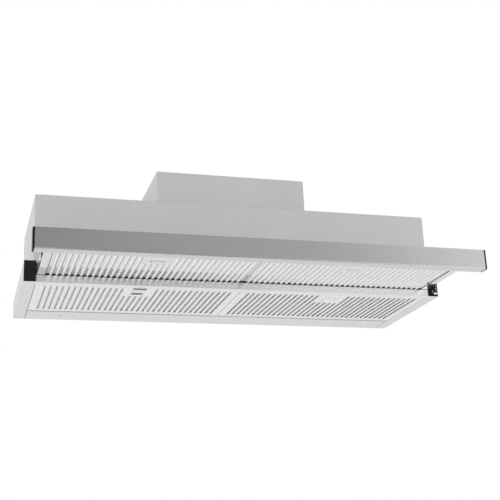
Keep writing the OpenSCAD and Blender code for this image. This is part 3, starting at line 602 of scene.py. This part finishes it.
black_plastic = moulded("black_plastic", (0.005, 0.005, 0.005), 0.50, 0.00008, shine=0.4)
dress(black_plastic, "corner_block", "cable_gland")
cap_plastic = moulded("cap_plastic", (0.003, 0.003, 0.003), 0.42, 0.00006, shine=0.15)
dress(cap_plastic, "control_housing", "end_cap_left", "end_cap_right")
button_plastic = moulded("button_plastic", (0.006, 0.006, 0.006), 0.36, 0.00004, shine=0.2)
dress(button_plastic, "button_light", "button_low", "button_high")
grey_plastic = moulded("grey_plastic", (0.09, 0.09, 0.095), 0.48, 0.00006)
dress(grey_plastic, "outlet_collar", "damper_flap_left", "damper_flap_right", "terminal_box",
      "terminal_lid")
blower_plastic = moulded("blower_plastic", (0.20, 0.21, 0.22), 0.50, 0.00006)
dress(blower_plastic, "scroll_half_left", "scroll_half_right", "outlet_transition", "fan_wheel")
white_plastic = moulded("white_plastic", (0.75, 0.75, 0.74), 0.40, 0.00004)
dress(white_plastic, "run_capacitor")
white_lens = moulded("white_lens", (0.95, 0.95, 0.95), 0.25, 0.00002)
dress(white_lens, "indicator_lens")
board_green = moulded("board_green", (0.02, 0.14, 0.05), 0.30, 0.00002)
dress(board_green, "control_board")
black_rubber = moulded("black_rubber", (0.02, 0.02, 0.02), 0.70, 0.00008)
dress(black_rubber, "panel_bumpers", "control_cable")


# Printed marks

# White and grey ink printed on the face of the control block: a frame round the
# lens, a short bar and three dots. All sizes of marks and signs are in mm.
ink = 0.06
buried = 0.05
frame_width = 7.8
frame_height = 4.0
window_width = 5.2
window_height = 2.4
dot_width = 2.2
dot_height = 1.6
bar_width = 1.9
bar_height = 5.8


def round_bar(x, z, width, height, corner_radius, steps=8):
    """Outline of a bar with round corners, its middle at x, z."""
    points = []
    for quarter, (sx, sz) in enumerate(((1, 1), (-1, 1), (-1, -1), (1, -1))):
        for k in range(steps + 1):
            angle = math.radians(90 * (quarter + k / steps))
            points.append((x + sx * (width / 2 - corner_radius) + corner_radius * math.cos(angle),
                           z + sz * (height / 2 - corner_radius) + corner_radius * math.sin(angle)))
    return points


def raise_shape(marks, outline, face_y, height, hole=None):
    """Add the outline as a solid that stands the height in front of the face."""
    def ring(points, y):
        return [marks.verts.new((x / 1000, y / 1000, z / 1000)) for x, z in points]

    under, over = ring(outline, face_y + buried), ring(outline, face_y - height)
    walls = [(under, over)]
    if hole:
        hole_under, hole_over = ring(hole, face_y + buried), ring(hole, face_y - height)
        walls += [(hole_over, hole_under), (over, hole_over), (hole_under, under)]
    else:
        marks.faces.new(over)
        marks.faces.new(under[::-1])
    for first, second in walls:
        for k in range(len(first)):
            after = (k + 1) % len(first)
            marks.faces.new((first[k], first[after], second[after], second[k]))


def finish_marks(name, marks, finish, body):
    bmesh.ops.recalc_face_normals(marks, faces=marks.faces)
    mesh = bpy.data.meshes.new(name)
    marks.to_mesh(mesh)
    marks.free()
    mesh.materials.append(finish)
    piece = bpy.data.objects.new(name, mesh)
    bpy.context.scene.collection.objects.link(piece)
    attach(piece, body)


block_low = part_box("control_housing")[0] * 1000
lens_low, lens_high = (corner * 1000 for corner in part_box("indicator_lens"))
window_x = lens_low.x + 0.8 + window_width / 2
window_z = (lens_low.z + lens_high.z) / 2
dots_x = block_low.x + 20.1
dots_z = [block_low.z + above_foot for above_foot in (13.9, 18.0, 22.7)]
bar_x = block_low.x + 12.0
bar_z = block_low.z + 10.8
lens_frame = round_bar(window_x - 1.0, window_z - 0.5, frame_width, frame_height, 0.5)
window = round_bar(window_x, window_z, window_width, window_height, 0.2)
white_print = bmesh.new()
raise_shape(white_print, lens_frame, block_low.y, ink, hole=window)
for dot_z in dots_z:
    dot = round_bar(dots_x, dot_z, dot_width, dot_height, 0.6)
    raise_shape(white_print, dot, block_low.y, ink)
white_ink = moulded("white_ink", (0.92, 0.92, 0.92), 0.45, 0.00001)
finish_marks("lens_frame_and_dots", white_print, white_ink, "housing")
grey_print = bmesh.new()
setting_bar = round_bar(bar_x, bar_z, bar_width, bar_height, 0.6)
raise_shape(grey_print, setting_bar, block_low.y, ink)
grey_ink = moulded("grey_ink", (0.34, 0.34, 0.34), 0.45, 0.00001)
finish_marks("setting_bar", grey_print, grey_ink, "housing")


# Button signs

# Moulded on the faces of the three buttons, of the same black plastic: a ring
# for the lamp, one bar for the low speed and two for the high speed.
moulding = 0.18
sign_height = 2.6
ring_hole = 1.7
stroke_width = 0.6


def button_face(button):
    """Middle of a button's face in X and Z, and the face's Y."""
    low, high = (corner * 1000 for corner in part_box(button))
    return (low.x + high.x) / 2, (low.z + high.z) / 2, low.y


def disc(x, z, diameter):
    return round_bar(x, z, diameter, diameter, diameter / 2 - 0.001)


def speed_sign(name, button, body, shifts):
    x, z, face_y = button_face(button)
    bars = bmesh.new()
    for shift in shifts:
        stroke = round_bar(x + shift, z, stroke_width, sign_height, 0.28)
        raise_shape(bars, stroke, face_y, moulding)
    finish_marks(name, bars, button_plastic, body)


lamp_x, lamp_z, lamp_face_y = button_face("button_light")
lamp_ring = bmesh.new()
raise_shape(lamp_ring, disc(lamp_x, lamp_z, sign_height), lamp_face_y, moulding,
            hole=disc(lamp_x, lamp_z, ring_hole))
finish_marks("lamp_sign", lamp_ring, button_plastic, "light_button")
speed_sign("low_speed_sign", "button_low", "low_button", (0.0,))
speed_sign("high_speed_sign", "button_high", "high_button", (-0.8, 0.8))
